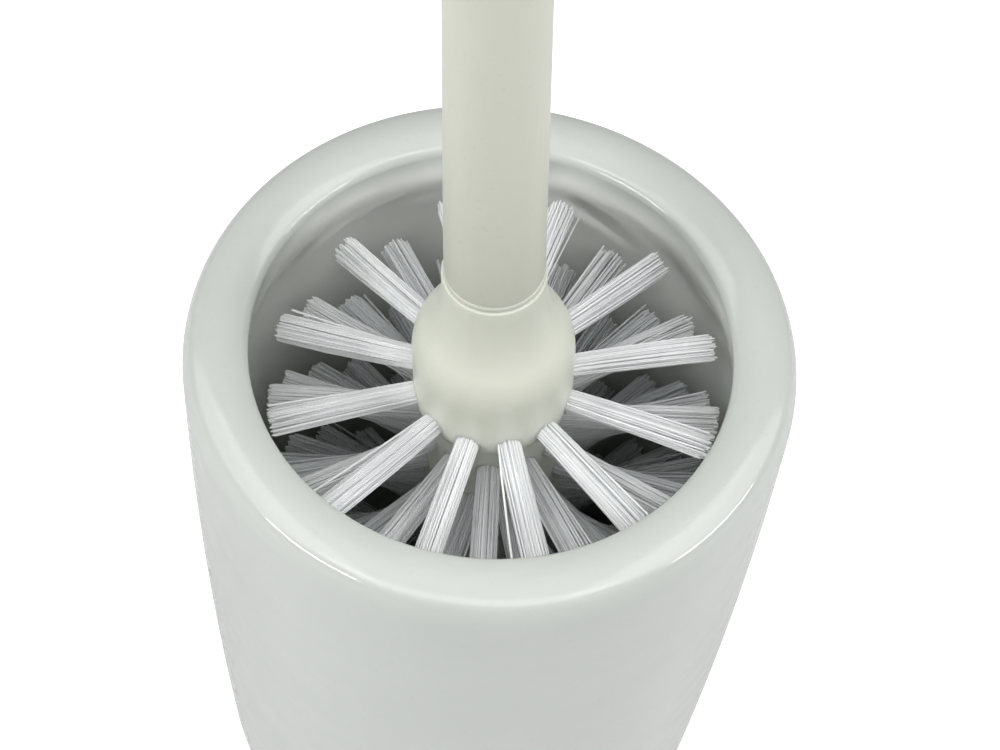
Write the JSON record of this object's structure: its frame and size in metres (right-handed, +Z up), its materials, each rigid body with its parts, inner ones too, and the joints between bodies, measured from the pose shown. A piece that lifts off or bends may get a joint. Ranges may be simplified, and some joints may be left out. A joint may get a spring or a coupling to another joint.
{
  "type": "toilet brush and holder",
  "caption": "Round glazed ceramic holder with a thick rounded rim, holding a toilet brush whose nylon-tufted moulded head screws onto a slim tube handle.",
  "frame": {"origin": "on the floor plane under the holder's vertical axis, at the undersides of the foot pads", "axes": "+Z up along the holder's axis; the brush leans 2.4 degrees towards -X and 1 degree towards -Y; -Y faces the front"},
  "size_m": [0.11, 0.11, 0.3949],
  "materials": {
    "glaze": "glossy white glaze",
    "pad_rubber": "matt translucent grey",
    "head_plastic": "natural off-white, slightly translucent, satin",
    "seal_plastic": "pale, slightly translucent, satin",
    "bristle_nylon": "white nylon filament with a soft sheen",
    "handle_plastic": "warm white, smooth satin",
    "insert_plastic": "moulded, satin"
  },
  "bodies": {
    "holder": {"holder_cup": "glaze", "foot_pad_1": "pad_rubber", "foot_pad_2": "pad_rubber", "foot_pad_3": "pad_rubber"},
    "brush_head": {"head_core": "head_plastic", "tuft_row1_01": "bristle_nylon", "tuft_row1_02": "bristle_nylon", "tuft_row1_03": "bristle_nylon", "tuft_row1_04": "bristle_nylon", "tuft_row1_05": "bristle_nylon", "tuft_row1_06": "bristle_nylon", "tuft_row1_07": "bristle_nylon", "tuft_row1_08": "bristle_nylon", "tuft_row1_09": "bristle_nylon", "tuft_row1_10": "bristle_nylon", "tuft_row1_11": "bristle_nylon", "tuft_row1_12": "bristle_nylon", "tuft_row2_01": "bristle_nylon", "tuft_row2_02": "bristle_nylon", "tuft_row2_03": "bristle_nylon", "tuft_row2_04": "bristle_nylon", "tuft_row2_05": "bristle_nylon", "tuft_row2_06": "bristle_nylon", "tuft_row2_07": "bristle_nylon", "tuft_row2_08": "bristle_nylon", "tuft_row2_09": "bristle_nylon", "tuft_row2_10": "bristle_nylon", "tuft_row2_11": "bristle_nylon", "tuft_row2_12": "bristle_nylon", "tuft_row3_01": "bristle_nylon", "tuft_row3_02": "bristle_nylon", "tuft_row3_03": "bristle_nylon", "tuft_row3_04": "bristle_nylon", "tuft_row3_05": "bristle_nylon", "tuft_row3_06": "bristle_nylon", "tuft_row3_07": "bristle_nylon", "tuft_row3_08": "bristle_nylon", "tuft_row3_09": "bristle_nylon", "tuft_row3_10": "bristle_nylon", "tuft_row3_11": "bristle_nylon", "tuft_row3_12": "bristle_nylon", "tuft_row4_01": "bristle_nylon", "tuft_row4_02": "bristle_nylon", "tuft_row4_03": "bristle_nylon", "tuft_row4_04": "bristle_nylon", "tuft_row4_05": "bristle_nylon", "tuft_row4_06": "bristle_nylon", "tuft_row4_07": "bristle_nylon", "tuft_row4_08": "bristle_nylon", "tuft_row4_09": "bristle_nylon", "tuft_row4_10": "bristle_nylon", "tuft_row4_11": "bristle_nylon", "tuft_row4_12": "bristle_nylon", "tuft_rows_5_to_6": "bristle_nylon", "tuft_rows_7_to_8": "bristle_nylon", "tufts_rounded_end": "bristle_nylon"},
    "seal": {"seal_ring": "seal_plastic"},
    "handle": {"handle_tube": "handle_plastic", "thread_insert": "insert_plastic", "handle_end_cap": "handle_plastic"}
  },
  "joints": [
    {"name": "brush_lift", "type": "slide", "parent": "holder", "child": "brush_head", "axis": [-0.0419, -0.0183, 0.999], "range_m": [0, 0.15]},
    {"name": "handle_rise", "type": "slide", "parent": "brush_head", "child": "seal", "axis": [-0.0419, -0.0183, 0.999], "range_m": [0, 0.01351]},
    {"name": "handle_unscrew", "type": "hinge", "parent": "seal", "child": "handle", "pos_m": [0.00026, 0.00023, 0.1385], "axis": [-0.0419, -0.0183, 0.999], "range_deg": [0, 1620]}
  ],
  "couplings": [
    {"joint": "handle_rise", "follows": "handle_unscrew", "m_per_rad": 0.00047746}
  ]
}
